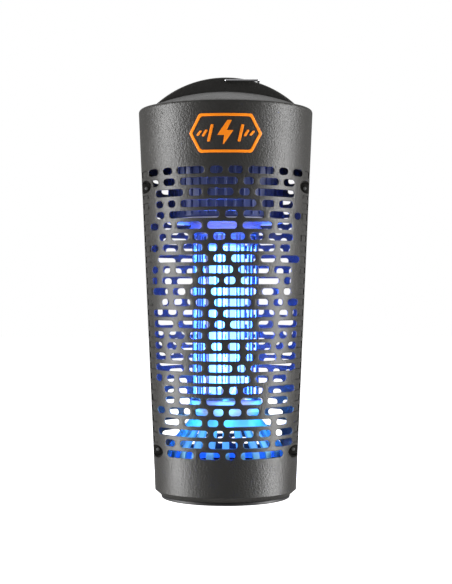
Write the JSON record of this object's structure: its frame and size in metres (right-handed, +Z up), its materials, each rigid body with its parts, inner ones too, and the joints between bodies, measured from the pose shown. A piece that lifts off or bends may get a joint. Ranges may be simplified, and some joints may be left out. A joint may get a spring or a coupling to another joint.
{
  "type": "electric bug zapper",
  "caption": "Tapered round bug zapper with a slotted housing, arched grip and wire bail, a caged ultraviolet lamp inside and a twist-off insect tray below.",
  "frame": {"origin": "centre of the tray's underside, the face that the object stands on", "axes": "+Z up along the housing's axis; +Y to the rear, where the cord inlet is; the emblem faces -Y; +X to the right seen from the front"},
  "size_m": [0.1516, 0.152, 0.3642],
  "materials": {
    "housing": "fine spark-eroded grain, satin",
    "black_plastic": "satin",
    "emblem": "satin orange print",
    "chrome_wire": "polished",
    "screw_steel": "zinc plated",
    "grid_steel": "drawn wire",
    "white_insulator": "satin",
    "blue_insulator": "satin",
    "lamp_glass": "phosphor-coated, lit",
    "circuit_board": "solder mask",
    "ferrite": "sintered",
    "winding_film": "dipped",
    "rubber_seal": "matte",
    "lead": "insulated wire"
  },
  "bodies": {
    "housing": {"front_shell": "housing", "rear_shell": "housing", "top_cap": "housing", "front_emblem": "emblem", "cord_gland": "black_plastic", "gland_nut": "black_plastic", "housing_screw_upper_left": "screw_steel", "housing_screw_upper_right": "screw_steel", "housing_screw_lower_left": "screw_steel", "housing_screw_lower_right": "screw_steel", "cap_screw_1": "screw_steel", "cap_screw_2": "screw_steel", "cap_screw_3": "screw_steel", "cap_screw_4": "screw_steel", "electronics_cup": "blue_insulator", "hub_lower_plate": "white_insulator", "main_board": "circuit_board", "transformer_core": "ferrite", "transformer_winding": "winding_film", "film_capacitor_1": "winding_film", "film_capacitor_2": "winding_film", "film_capacitor_3": "winding_film", "film_capacitor_4": "winding_film", "smoothing_capacitor": "black_plastic", "terminal_block": "white_insulator", "fuse": "white_insulator", "grid_lead_outer": "lead", "grid_lead_inner": "lead", "lamp_socket": "white_insulator", "lamp_base": "white_insulator", "lamp_tube_front": "lamp_glass", "lamp_tube_rear": "lamp_glass", "outer_grid": "grid_steel", "inner_grid": "grid_steel", "grid_top_insulator": "white_insulator", "grid_lower_insulator": "white_insulator", "base_grille": "blue_insulator", "bayonet_ring": "black_plastic"},
    "bail": {"hang_bail": "chrome_wire"},
    "seal": {"tray_seal": "rubber_seal"},
    "tray": {"insect_tray": "black_plastic"}
  },
  "joints": [
    {"name": "bail_swing", "type": "hinge", "parent": "housing", "child": "bail", "pos_m": [0, 0, 0.361], "axis": [0, -1, 0], "range_deg": [0, 180]},
    {"name": "tray_drop", "type": "slide", "parent": "housing", "child": "seal", "axis": [0, 0, -1], "range_m": [0, 0.012]},
    {"name": "tray_twist", "type": "hinge", "parent": "seal", "child": "tray", "pos_m": [0, 0, 0], "axis": [0, 0, 1], "range_deg": [0, 60]}
  ],
  "couplings": [
    {"joint": "tray_drop", "follows": "tray_twist", "m_per_rad": 0.011459}
  ]
}
